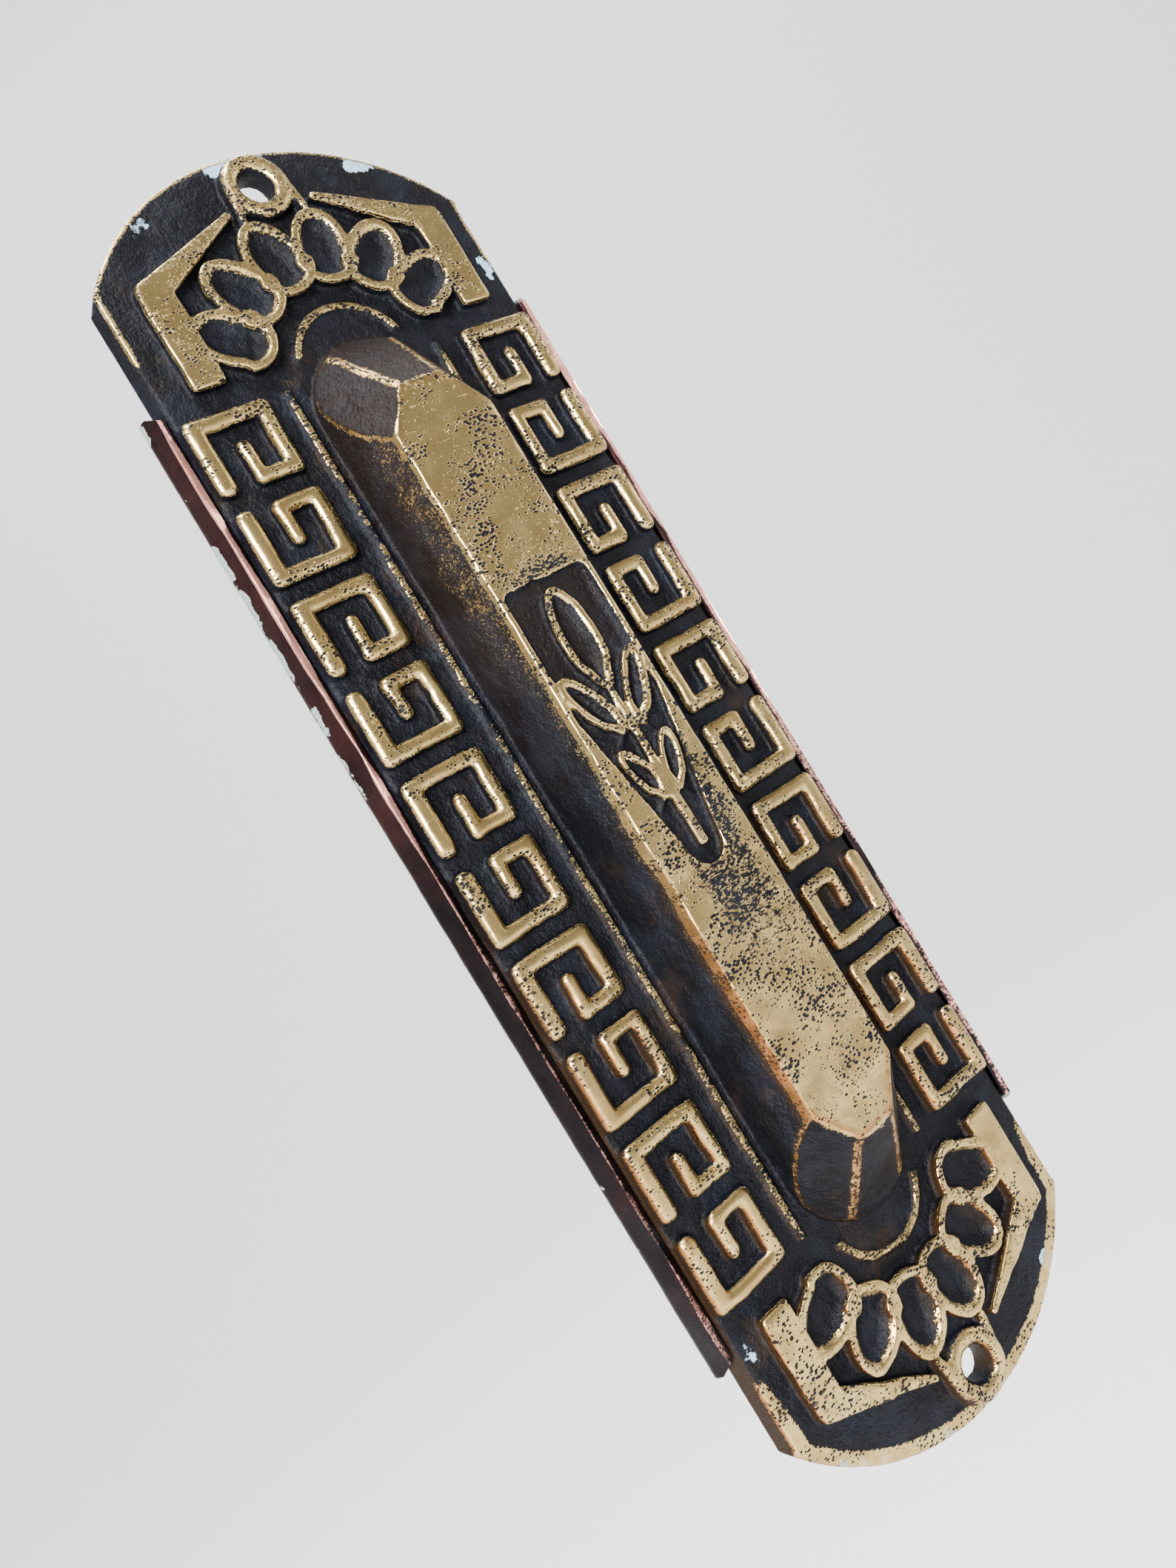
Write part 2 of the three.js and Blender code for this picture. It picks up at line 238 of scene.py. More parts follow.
studio = {
    "skyColor": (0.80, 0.81, 0.84),
    "skyStrength": 0.28,
    "floorColor": (0.66, 0.655, 0.67),
    "floorRoughness": 0.7,
    "floorDrop": 0.085,      # below the case, so that the back can slide out downwards
    "sweepRadius": 1.4,      # the floor bends up into a round wall, so no edge of it shows
    "sweepHeight": 1.50,
    "sweepBend": 0.9,
    "sweepSides": 96,
    "bendSteps": 24,
    "lamps": {
        # name: (place, target, size, power, colour)
        "leftWindow": ((-0.31, -0.33, 0.12), (0, 0, 0), 0.20, 15.0, (0.96, 0.98, 1.0)),
        "upperWindow": ((-0.06, -0.16, 0.44), (0, 0, 0), 0.18, 4.5, (1.0, 1.0, 1.0)),
        "rightFill": ((0.42, -0.16, 0.10), (0, 0, 0), 0.25, 0.8, (1.0, 0.98, 0.95)),
        "wallLamp": ((0.30, 0.35, 1.20), (0.45, 1.00, 0.0), 0.90, 31.0, (1.0, 1.0, 1.0)),
        "frontWallLamp": ((0.0, -0.30, 1.25), (0.2, -1.1, 0.0), 1.00, 3.6, (1.0, 0.99, 0.97)),
    },
}


def makeStudio():
    for name, (spot, target, size, power, colour) in studio["lamps"].items():
        aim = (Vector(target) - Vector(spot)).to_track_quat("-Z", "Y").to_euler()
        bpy.ops.object.light_add(type="AREA", location=spot, rotation=aim)
        lamp = bpy.context.object
        lamp.name = name
        lamp.data.shape = "SQUARE"
        lamp.data.size = size
        lamp.data.energy = power
        lamp.data.color = colour
    world = bpy.data.worlds.new("studioWorld")
    bpy.context.scene.world = world
    world.use_nodes = True
    background = world.node_tree.nodes["Background"]
    background.inputs["Color"].default_value = (*studio["skyColor"], 1)
    background.inputs["Strength"].default_value = studio["skyStrength"]
    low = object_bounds()[0]
    bpy.ops.mesh.primitive_cylinder_add(
        vertices=studio["sweepSides"], radius=studio["sweepRadius"], depth=studio["sweepHeight"],
        location=(0, 0, low.z - studio["floorDrop"] + studio["sweepHeight"] / 2),
    )
    floor = settle("studioFloor")
    pickPoints(floor, lambda p: p.z > low.z)
    bpy.ops.mesh.delete(type="FACE")
    endEdit()
    pickPoints(floor, lambda p: p.z < low.z)
    bpy.ops.mesh.bevel(offset=studio["sweepBend"], segments=studio["bendSteps"], affect="EDGES")
    endEdit()
    pickPoints(floor)
    bpy.ops.mesh.flip_normals()
    endEdit()
    bpy.ops.object.shade_smooth()
    paint = bpy.data.materials.new("paleFloor")
    paint.use_nodes = True
    shader = paint.node_tree.nodes["Principled BSDF"]
    shader.inputs["Base Color"].default_value = (*studio["floorColor"], 1)
    shader.inputs["Roughness"].default_value = studio["floorRoughness"]
    floor.data.materials.append(paint)


makeStudio()
say("camera, lamps and floor")


def newNode(kind, *values):
    # a node of this kind, in the tree that the given sockets belong to
    tree = next(value.id_data for value in values if hasattr(value, "id_data"))
    return tree.nodes.new(kind)


def feed(socket, value):
    # sets a number or a colour on a socket, or links another socket to it
    if isinstance(value, (int, float)):
        socket.default_value = value
    elif isinstance(value, tuple):
        socket.default_value = (*value, 1)
    else:
        value.id_data.links.new(value, socket)


def mathNode(operation, first, second=None, clamp=False):
    node = newNode("ShaderNodeMath", first, second)
    node.operation = operation
    node.use_clamp = clamp
    feed(node.inputs[0], first)
    if second is not None:
        feed(node.inputs[1], second)
    return node.outputs[0]


def plus(first, second, clamp=False):
    return mathNode("ADD", first, second, clamp)


def less(first, second):
    return mathNode("SUBTRACT", first, second)


def times(first, second, clamp=False):
    return mathNode("MULTIPLY", first, second, clamp)


def most(first, second):
    return mathNode("MAXIMUM", first, second)


def rangeNode(value, low, high, toLow=0.0, toHigh=1.0):
    # goes smoothly from toLow to toHigh while the value goes from low to high
    node = newNode("ShaderNodeMapRange", value)
    node.interpolation_type = "SMOOTHSTEP"
    for name, number in (("Value", value), ("From Min", low), ("From Max", high),
                         ("To Min", toLow), ("To Max", toHigh)):
        feed(node.inputs[name], number)
    return node.outputs["Result"]


def mixColours(factor, first, second):
    node = newNode("ShaderNodeMix", factor)
    node.data_type = "RGBA"
    for index, value in ((0, factor), (6, first), (7, second)):
        feed(node.inputs[index], value)
    return node.outputs[2]


def stretched(vector, scale, turn=0.0):
    # the same place, turned in the plane of the plate and then scaled along each axis
    node = newNode("ShaderNodeMapping", vector)
    node.inputs["Rotation"].default_value = (0, turn, 0)
    node.inputs["Scale"].default_value = scale
    feed(node.inputs["Vector"], vector)
    return node.outputs["Vector"]


def noiseNode(vector, scale, detail, rough):
    node = newNode("ShaderNodeTexNoise", vector)
    for name, value in (("Vector", vector), ("Scale", scale), ("Detail", detail), ("Roughness", rough)):
        feed(node.inputs[name], value)
    return node.outputs["Fac"]


def newGroup(name, inputs, outputs):
    # inputs: (label, default), where a place has no default
    tree = bpy.data.node_groups.new(name, "ShaderNodeTree")
    for label, default in inputs:
        kind = "NodeSocketVector" if default is None else "NodeSocketFloat"
        socket = tree.interface.new_socket(name=label, in_out="INPUT", socket_type=kind)
        if default is not None:
            socket.default_value = default
    for label in outputs:
        tree.interface.new_socket(name=label, in_out="OUTPUT", socket_type="NodeSocketFloat")
    return tree, tree.nodes.new("NodeGroupInput").outputs, tree.nodes.new("NodeGroupOutput").inputs


def useGroup(group, **values):
    node = newNode("ShaderNodeGroup", values["Vector"])
    node.node_tree = group
    for name, value in values.items():
        feed(node.inputs[name], value)
    return node.outputs


# effects that both metals use; scales are in waves or cells for each metre
metalEffects = {
    "rubCoarse": (1300, 4, 0.62),       # scale, detail, roughness
    "rubFine": (7600, 3, 0.62),
    "rubFineStretch": (0.45, 1, 1),
    "rubShares": (0.35, 0.65),          # coarse and fine
    "pitClusters": (420, 3, 0.6),
    "clusterRange": (0.26, 0.66),
    "pitRadii": (0.30, 0.46),           # of the pit's floor and its rim, in cells
    "pitChance": (0.45, 0.55),
    "scratches": ((0.9, 260), (-0.5, 330), (1.5, 210)),     # turn and scale
    "scratchStretch": (1, 1, 22),
    "scratchRange": (0.70, 0.76),
    "flakeDetail": (5, 0.62),
    "flakeReach": 0.26,
    "flakeRange": (0.815, 0.835),
}


def makeWearBreakup():
    # turns a soft wear value into a ragged, speckled edge, as rubbed patina has
    c = metalEffects
    inputs = [("Vector", None), ("Wear", 0.5), ("Raggedness", 0.5), ("Sharpness", 0.08)]
    tree, given, out = newGroup("raggedEdge", inputs, ["Mask"])
    coarse = noiseNode(given["Vector"], *c["rubCoarse"])
    fine = noiseNode(stretched(given["Vector"], c["rubFineStretch"]), *c["rubFine"])
    both = plus(times(coarse, c["rubShares"][0]), times(fine, c["rubShares"][1]))
    shifted = times(less(both, 0.5), given["Raggedness"])
    value = plus(given["Wear"], times(shifted, 2.0))
    feed(out["Mask"], rangeNode(value, less(0.5, given["Sharpness"]), plus(0.5, given["Sharpness"])))
    return tree


def makePits():
    # small casting pits, some lone and some in clusters
    c = metalEffects
    inputs = [("Vector", None), ("Amount", 0.5), ("Scale", 2600.0)]
    tree, given, out = newGroup("castingPits", inputs, ["Mask", "Depth"])
    cells = newNode("ShaderNodeTexVoronoi", given["Vector"])
    feed(cells.inputs["Vector"], given["Vector"])
    feed(cells.inputs["Scale"], given["Scale"])
    clusters = noiseNode(given["Vector"], *c["pitClusters"])
    size = times(rangeNode(clusters, *c["clusterRange"]), given["Amount"])
    inner, outer = (times(size, radius) for radius in c["pitRadii"])
    pit = rangeNode(cells.outputs["Distance"], inner, outer, 1.0, 0.0)
    some = rangeNode(cells.outputs["Color"], *c["pitChance"])
    mask = times(pit, some, clamp=True)
    feed(out["Mask"], mask)
    feed(out["Depth"], times(mask, -1.0))
    return tree


def makeScratches():
    # fine straight handling scratches that run mostly one way
    c = metalEffects
    tree, given, out = newGroup("handlingScratches", [("Vector", None), ("Amount", 0.5)], ["Mask"])
    masks = []
    for turn, scale in c["scratches"]:
        streak = noiseNode(stretched(given["Vector"], c["scratchStretch"], turn), scale, 2, 0.5)
        masks.append(rangeNode(streak, *c["scratchRange"]))
    total = most(most(masks[0], masks[1]), masks[2])
    feed(out["Mask"], times(total, given["Amount"]))
    return tree


def makeFlakes():
    # thin crusts left in the low places, such as old paint or verdigris
    c = metalEffects
    inputs = [("Vector", None), ("Where", 0.5), ("Scale", 380.0)]
    tree, given, out = newGroup("oldFlakes", inputs, ["Mask"])
    patches = noiseNode(given["Vector"], given["Scale"], *c["flakeDetail"])
    value = plus(patches, times(given["Where"], c["flakeReach"]))
    feed(out["Mask"], rangeNode(value, *c["flakeRange"]))
    return tree


raggedEdge = makeWearBreakup()
castingPits = makePits()
handlingScratches = makeScratches()
oldFlakes = makeFlakes()


def startMaterial(name):
    # the shader, the place on the piece, and the parts of its attribute of wear masks and painted light
    material = bpy.data.materials.new(name)
    material.use_nodes = True
    tree = material.node_tree
    here = tree.nodes.new("ShaderNodeTexCoord").outputs["Object"]
    wearAndLightMasks = tree.nodes.new("ShaderNodeAttribute")
    wearAndLightMasks.attribute_name = "wearAndLightMasks"
    split = tree.nodes.new("ShaderNodeSeparateColor")
    feed(split.inputs[0], wearAndLightMasks.outputs["Color"])
    return material, tree.nodes["Principled BSDF"], here, split.outputs


def bumpFrom(shader, layers, depth=0.0001):
    # layers: (height, metres, share), all added into one bump
    total = None
    for height, distance, share in layers:
        part = times(height, distance * share / depth)
        total = plus(total, part) if total else part
    bump = newNode("ShaderNodeBump", total)
    bump.inputs["Distance"].default_value = depth
    bump.inputs["Strength"].default_value = 1.0
    feed(bump.inputs["Height"], total)
    feed(shader.inputs["Normal"], bump.outputs["Normal"])


brassLook = {
    "polished": (0.41, 0.300, 0.118),
    "dull": (0.30, 0.205, 0.074),
    # warm: a tint, and also the painted shade on the left-facing sides of the lower half
    "warmTintAndShade": (0.20, 0.066, 0.018),
    "patina": (0.0020, 0.0019, 0.0026),
    "patinaBlue": (0.0034, 0.0038, 0.0058),
    "patinaBrown": (0.013, 0.0070, 0.0032),
    "flake": (0.17, 0.24, 0.29),
    "flakeScale": 330.0,
    "raggedness": 0.85,
    "pitStretch": (0.62, 1, 1),
    "pits": 3900.0,
    "finePits": (1.5, 5200.0),      # amount and scale
    "darkRoughness": 0.40,
    "brightRoughness": -0.12,       # added where it is rubbed bright
    "patinaGloss": 0.07,
}
brassZones = {               # millimetres, from the middle of the plate; pairs go from none to full
    "frontHeight": 2.1,
    "halfWidth": 14.0,
    "arcRadius": 17.56,
    "arcCentre": 31.94,
    "arcFrom": (36.0, 38.0),
    "housingHalf": (5.30, 5.20),
    "housingEnd": 29.3,
    "housingRise": (-0.3, -0.2),
    "lowerEnd": (-34, -42),
    "reliefRise": (0.30, 0.78),
    "gableAcross": (9.3, 11.0),
    "fretEnd": (33.4, 34.6),
    "beadX": 6.05,
    "beadHalf": (0.45, 0.25),
    "beadRise": (0.10, 0.28),
    "beadEnd": (33.1, 32.6),
    "rosetteEnd": 33.0,
    "ringRadius": 4.15,
    "ringHalf": (0.42, 0.22),
    "ringRise": (0.06, 0.22),
    "ringFrom": (33.8, 34.6),
    "rimWidth": 0.36,
    "rimWidening": 0.70,     # at the lower end
    "rimEdge": (-0.20, 0.30),
    "rimRise": (-0.45, -0.15),
    "fieldTop": 13.0,
    "fieldFoot": -8.4,
    "speckleMiddle": 0.5,
    "speckleAcross": (3.5, 1.6),
    "topRise": (5.10, 5.24),
    "onTop": (5.16, 5.26),
    "stripFrom": (8, -6),
    "stripRise": (4.70, 5.05),
    "fadeRise": (3.6, 5.2),
    "upperFrom": (0, 13),
    "upperRise": (0.8, 4.6),
    "flakeMargin": (2.4, 0.5),
    "flakeFrom": (33.0, 36.0),
    "flakeRise": (0.45, 0.30),
    "flakeLowest": (-0.5, -0.2),
}
brassRub = {                 # how bright each part is rubbed, from 0 to 1
    "relief": 0.86,
    "endRelief": 0.74,
    "reliefEdge": 0.80,
    "bead": 0.52,
    "ring": 0.56,
    "rim": 0.74,
    "top": 0.80,
    "topSpeckle": 0.38,
    "speckleFades": (0.42, 0.085),      # for each millimetre above and below the sunk field
    "speckleRange": (1.25, 0.0),
    "strip": (0.0, 0.74),
    "fade": (0.08, 0.42),
    "upper": (0.16, 0.41),
    "housingEdge": 0.92,
    "pitted": (0.88, 0.34),             # on the plate, and more on the housing
}


def coverPolish(here, ridge, dark):
    # how far each place is rubbed bright, from its height and its distance to edges
    c, rub = brassZones, brassRub
    split = newNode("ShaderNodeSeparateXYZ", here)
    feed(split.inputs[0], here)
    x, y, z = (times(split.outputs[k], 1000) for k in range(3))
    rise = less(times(y, -1), c["frontHeight"])
    absX, absZ = mathNode("ABSOLUTE", x), mathNode("ABSOLUTE", z)

    def reach(centre):
        # distance from the long middle line, which ends at this z
        along = most(less(absZ, centre), 0)
        return mathNode("SQRT", plus(times(absX, absX), times(along, along)))

    margin = mathNode("MINIMUM", less(c["halfWidth"], absX), less(c["arcRadius"], reach(c["arcCentre"])))
    relief = rangeNode(rise, *c["reliefRise"], 0.0, rub["relief"])
    fretPart = rangeNode(absZ, *c["fretEnd"], 1.0, 0.0)
    thin = most(rangeNode(absX, *c["gableAcross"], rub["endRelief"], 1.0), fretPart)
    relief = most(times(relief, thin), times(ridge, rub["reliefEdge"]))
    beadLine = mathNode("ABSOLUTE", less(absX, c["beadX"]))
    bead = times(rangeNode(beadLine, *c["beadHalf"]), rangeNode(rise, *c["beadRise"]))
    bead = times(bead, rangeNode(absZ, *c["beadEnd"]))
    relief = most(relief, times(bead, rub["bead"]))
    ringLine = mathNode("ABSOLUTE", less(reach(c["rosetteEnd"]), c["ringRadius"]))
    ring = times(rangeNode(ringLine, *c["ringHalf"]), rangeNode(rise, *c["ringRise"]))
    relief = most(relief, times(times(ring, rangeNode(absZ, *c["ringFrom"])), rub["ring"]))
    rimWidth = plus(c["rimWidth"], times(rangeNode(z, *c["lowerEnd"]), c["rimWidening"]))
    rim = times(rangeNode(less(rimWidth, margin), *c["rimEdge"]), rangeNode(absZ, *c["arcFrom"]))
    rim = times(rim, rangeNode(rise, *c["rimRise"]))
    relief = most(relief, times(rim, rub["rim"]))

    # the housing: rubbed on top, dark and speckled above and below the sunk field
    over = times(most(less(z, c["fieldTop"]), 0), rub["speckleFades"][0])
    under = times(most(less(c["fieldFoot"], z), 0), rub["speckleFades"][1])
    across = mathNode("ABSOLUTE", plus(x, -c["speckleMiddle"]))
    speckle = rangeNode(plus(over, under), *rub["speckleRange"])
    speckle = times(speckle, rangeNode(across, *c["speckleAcross"]))
    top = times(rangeNode(rise, *c["topRise"]), less(rub["top"], times(speckle, rub["topSpeckle"])))
    strip = times(rangeNode(rise, *c["stripRise"], *rub["strip"]), rangeNode(z, *c["stripFrom"]))
    fade = rangeNode(rise, *c["fadeRise"], *rub["fade"])
    upper = times(rangeNode(z, *c["upperFrom"]), rangeNode(rise, *c["upperRise"], *rub["upper"]))
    flank = times(less(1.0, rangeNode(rise, *c["onTop"])), most(most(strip, fade), upper))
    housing = times(most(top, flank), less(1.0, dark))
    housing = most(housing, times(ridge, rub["housingEdge"]))
    inHousing = rangeNode(reach(c["housingEnd"]), *c["housingHalf"])
    inHousing = times(inHousing, rangeNode(rise, *c["housingRise"]))
    onPlate = less(1.0, inHousing)
    polish = plus(times(relief, onPlate), times(housing, inHousing))

    # where flakes have room: low places near the rim of both ends
    edges = times(rangeNode(margin, *c["flakeMargin"]), rangeNode(absZ, *c["flakeFrom"]))
    low = times(rangeNode(rise, *c["flakeRise"]), rangeNode(rise, *c["flakeLowest"]))
    pitted = plus(rub["pitted"][0], times(inHousing, rub["pitted"][1]))
    return polish, times(edges, times(low, onPlate)), pitted


def agedBrass():
    c = brassLook
    # red: convex edges, green: kept dark, blue: warm tint, which on the left-facing sides of the lower
    # half is painted shade
    material, shader, here, wearAndLightMasks = startMaterial("agedBrass")
    level, room, pitted = coverPolish(here, wearAndLightMasks["Red"], wearAndLightMasks["Green"])
    rough = noiseNode(here, 420, 4, 0.6)
    scratches = useGroup(handlingScratches, Vector=here, Amount=1.0)["Mask"]
    sideways = stretched(here, c["pitStretch"])
    pits = useGroup(castingPits, Vector=sideways, Amount=pitted, Scale=c["pits"])
    amount, scale = c["finePits"]
    finePits = useGroup(castingPits, Vector=sideways, Amount=amount, Scale=scale)["Mask"]
    polish = useGroup(raggedEdge, Vector=here, Wear=level, Raggedness=c["raggedness"], Sharpness=0.06)
    polish = polish["Mask"]
    polish = times(polish, less(1.0, pits["Mask"]), clamp=True)
    polish = times(polish, less(1.0, finePits), clamp=True)

    # bright metal, duller and warmer in places; the darker orange-brown on the left-facing sides of the
    # lower half is painted shade
    metal = mixColours(rangeNode(rough, 0.38, 0.66), c["polished"], c["dull"])
    metal = mixColours(wearAndLightMasks["Blue"], metal, c["warmTintAndShade"])

    # the near-black patina, blue or brown in patches
    cool = rangeNode(noiseNode(here, 300, 4, 0.6), 0.45, 0.62)
    patina = mixColours(cool, c["patina"], c["patinaBlue"])
    brown = rangeNode(noiseNode(here, 230, 5, 0.65), 0.55, 0.70)
    # the painted shade on the left-facing sides turns the patina brown as well
    patina = mixColours(most(times(brown, 0.5), wearAndLightMasks["Blue"]), patina, c["patinaBrown"])

    colour = mixColours(polish, patina, metal)
    flakes = useGroup(oldFlakes, Vector=here, Where=room, Scale=c["flakeScale"])["Mask"]
    flakes = times(flakes, less(1.0, times(polish, 0.8)))
    feed(shader.inputs["Base Color"], mixColours(flakes, colour, c["flake"]))
    feed(shader.inputs["Metallic"], times(polish, less(1.0, flakes)))
    shader.inputs["Specular IOR Level"].default_value = c["patinaGloss"]
    shine = plus(c["darkRoughness"], times(polish, c["brightRoughness"]))
    shine = plus(shine, times(less(rough, 0.5), 0.40))
    feed(shader.inputs["Roughness"], plus(shine, times(flakes, 0.3), clamp=True))

    swell = noiseNode(here, 1100, 3, 0.5)
    lumps = noiseNode(here, 1700, 4, 0.65)
    grain = noiseNode(here, 5200, 3, 0.6)
    dark = less(1.0, polish)
    bumpFrom(shader, [
        (swell, 0.00005, 0.35),
        (times(lumps, dark), 0.00022, 0.9),
        (times(grain, plus(0.30, dark)), 0.00006, 0.8),
        (polish, 0.00002, 0.8),
        (pits["Depth"], 0.00005, 0.8),
        (times(scratches, -1.0), 0.00002, 0.5),
        (flakes, 0.00005, 0.6),
    ])
    return material


copperLook = {
    # bright: bare copper, also used as a painted highlight along the lips
    "bright": (0.70, 0.33, 0.26),
    "body": (0.034, 0.0105, 0.0095),
    "patina": (0.0045, 0.0026, 0.0032),
    "flake": (0.12, 0.145, 0.135),
    "flakeRoom": 1.2,
    "flakeScale": 420.0,
    "tarnishFrom": (0.52, 1.06),
    "metallic": 0.85,
    "roughness": 0.36,
}


def tarnishedCopper():
    c = copperLook
    # red: rubbed lip, with a painted highlight along its edge; green: darker in places, more so towards
    # the bottom of the walls; blue: room for flakes
    material, shader, here, wearAndLightMasks = startMaterial("tarnishedCopper")
    broad = noiseNode(here, 260, 5, 0.65)
    fine = noiseNode(here, 1900, 4, 0.6)
    tarnish = plus(times(wearAndLightMasks["Green"], 0.55), times(broad, 0.9))
    tarnish = rangeNode(plus(tarnish, times(fine, 0.25)), *c["tarnishFrom"])
    colour = mixColours(tarnish, c["body"], c["patina"])
    # the lip's bright copper is partly rubbed bare metal and partly a painted highlight
    lip = useGroup(raggedEdge, Vector=here, Wear=wearAndLightMasks["Red"], Raggedness=0.45, Sharpness=0.12)["Mask"]
    colour = mixColours(lip, colour, c["bright"])
    room = times(wearAndLightMasks["Blue"], c["flakeRoom"])
    flakes = useGroup(oldFlakes, Vector=here, Where=room, Scale=c["flakeScale"])["Mask"]
    feed(shader.inputs["Base Color"], mixColours(flakes, colour, c["flake"]))
    feed(shader.inputs["Metallic"], less(c["metallic"], times(flakes, c["metallic"])))
    shine = plus(c["roughness"], times(less(fine, 0.5), 0.5))
    shine = less(shine, times(lip, 0.16))
    feed(shader.inputs["Roughness"], plus(shine, times(flakes, 0.35), clamp=True))
    scratches = useGroup(handlingScratches, Vector=here, Amount=1.0)["Mask"]
    bumpFrom(shader, [
        (broad, 0.00012, 0.5),
        (fine, 0.00004, 0.5),
        (times(scratches, -1.0), 0.00002, 0.5),
        (flakes, 0.00006, 0.7),
    ])
    return material


parchmentLook = {
    "light": (0.74, 0.64, 0.44),
    "dark": (0.50, 0.38, 0.20),
    "edge": (0.34, 0.22, 0.10),
    "fibreStretch": (1, 1, 0.18),
    "glow": 0.08,
    "glowReach": (0.001, 0.0006, 0.0003),
}


def rolledSkin():
    c = parchmentLook
    material, shader, here, wearAndLightMasks = startMaterial("rolledSkin")    # red: browned ends
    clouds = noiseNode(here, 130, 5, 0.6)
    fibres = noiseNode(stretched(here, c["fibreStretch"]), 900, 4, 0.6)
    colour = mixColours(rangeNode(clouds, 0.35, 0.70), c["light"], c["dark"])
    colour = mixColours(times(rangeNode(fibres, 0.50, 0.72), 0.35), colour, c["dark"])
    feed(shader.inputs["Base Color"], mixColours(wearAndLightMasks["Red"], colour, c["edge"]))
    feed(shader.inputs["Roughness"], rangeNode(fibres, 0.3, 0.7, 0.62, 0.82))
    shader.inputs["Subsurface Weight"].default_value = c["glow"]
    shader.inputs["Subsurface Radius"].default_value = c["glowReach"]
    bumpFrom(shader, [(clouds, 0.0002, 0.4), (fibres, 0.00006, 0.6)])
    return material


say("shared effects")


coverSizes = {
    "length": 99.0,
    "backWidth": 29.2,
    "edgeSlope": 0.6,
    "endRise": 7.8,
    "endSteps": 160,
    "backHeight": 0.8,      # of the plate's back, from the doorpost
    "frontHeight": 2.1,     # of the plate's front
    "voxel": 0.118,
    "faces": 186000,
    "smoothing": 4,
    "wobble": (2.8, 2, 0.38),       # size, detail, strength
    "dents": (0.9, 3, 0.045),
}
housingSizes = {
    "height": 5.6,
    "footHalfWidth": 5.1,
    "topHalfWidth": 3.75,
    "footEnd": 29.3,        # centre of the foot's round end
    "topEnd": 24.9,
    "shoulders": [           # half width, end centre, height
        (5.05, 28.8, 1.8), (4.75, 27.3, 3.4), (4.18, 25.9, 4.7),
    ],
    "facetTurn": 55.6,
    "facetReach": 3.1,
    "facetFootInset": -0.30,
    "cavityFoot": (4.0, 28.45),   # half width and end centre
    "cavityTop": (2.89, 24.5),
    "cavityDepth": 5.9,
}
reliefSizes = {
    "sunk": 0.3,            # how deep each raised piece reaches into the plate
    "height": 0.9,
    "stroke": 1.15,
    "strokeWidths": (1.22, 1.0, 1.05, 0.95, 0.9),
    "round": 0.55,
    "fretLength": 66.0,
    "fretUnits": 10,
    "fretGap": 1.1,
    "fretOuter": 13.32,
    "fretInner": 8.35,
    "gableX": (9.5, 11.9),
    "gableFoot": 34.1,
    "gableCorner": 41.7,
    "gableTip": (3.1, 45.15),
    "gableArm": (2.1, 0.45),        # width at the corner and at the tip
    "rosetteEnd": 33.0,
    "petalPitch": 25.5,
    "petalStart": 5.25,
    "petalEnd": 11.35,
    "petalWidth": 4.15,
    "petalRim": 0.50,
    "petalDip": 0.72,
    "arcRadius": 4.15,
    "arcWire": 0.30,
    "arcFrom": 1.25,                # where the arc is cut off, beyond the rosette's centre
    "nailPlace": 46.7,
    "nailHole": 1.2,
    "eyeletRadius": 1.86,
    "eyeletWire": 0.68,
    "eyeletRise": 0.22,
    "eyeletLeg": (1.05, 0.6, 0.75),     # width at the ring and at the foot, height
    "beadX": 6.05,
    "beadRadius": 0.34,
}
sprigSizes = {
    "fieldTop": 13.0,
    "fieldFoot": -7.1,
    "fieldBend": 3.8,       # the field narrows below here
    "fieldDepth": 0.5,
    "fieldWide": 3.4,
    "fieldNarrow": 1.35,
    "wire": 0.40,
    "leafHeight": (0.80, 0.60),     # of the rim, and how deep the leaf is hollowed
    "leaves": [              # x, z, length, width, lean in degrees
        (0.0, 8.3, 7.6, 2.9, 0),
        (1.85, 4.0, 5.6, 1.9, 26),
        (-1.85, 4.0, 5.6, 1.9, -26),
        (1.25, -1.3, 4.4, 1.6, 20),
        (-1.25, -1.3, 4.4, 1.6, -20),
    ],
    "stem": (-7.2, 4.8, 0.80, 0.55),    # foot, top, width at each
}
front = -coverSizes["frontHeight"]     # y of the plate's front face
roof = front - housingSizes["height"]  # y of the housing's flat top
fieldFloor = roof + sprigSizes["fieldDepth"]
reliefFoot = front + reliefSizes["sunk"]
reliefTop = front - reliefSizes["height"]
edgeOn = (math.pi / 2, 0, 0)           # turns a primitive's axis from z to y


def bar(name, start, end, low, high, width, endWidth=None, soft=0.0):
    # a straight raised bar between two (x, z) points; low and high are its y values
    run = math.hypot(end[0] - start[0], end[1] - start[1])
    bpy.ops.mesh.primitive_cube_add(size=1)
    obj = settle(name, (width, abs(high - low), run))
    if endWidth is not None:
        pickPoints(obj, lambda p: p.z > 0)
        bpy.ops.transform.resize(value=(endWidth / width, 1, 1), center_override=(0, 0, 0))
        endEdit()
    if soft:
        applyModifier(obj, "BEVEL", width=soft, segments=5, limit_method="ANGLE")
    middle = ((start[0] + end[0]) / 2, (low + high) / 2, (start[1] + end[1]) / 2)
    return place(obj, middle, math.atan2(end[0] - start[0], end[1] - start[1]))


def peg(name, radius, depth, y, z, steps):
    bpy.ops.mesh.primitive_cylinder_add(
        vertices=steps, radius=radius, depth=depth, location=(0, y, z), rotation=edgeOn,
    )
    return settle(name)


def wireRing(name, radius, wire, y, z, steps, wireSteps):
    bpy.ops.mesh.primitive_torus_add(
        major_radius=radius, minor_radius=wire, major_segments=steps, minor_segments=wireSteps,
        location=(0, y, z), rotation=edgeOn,
    )
    return settle(name)


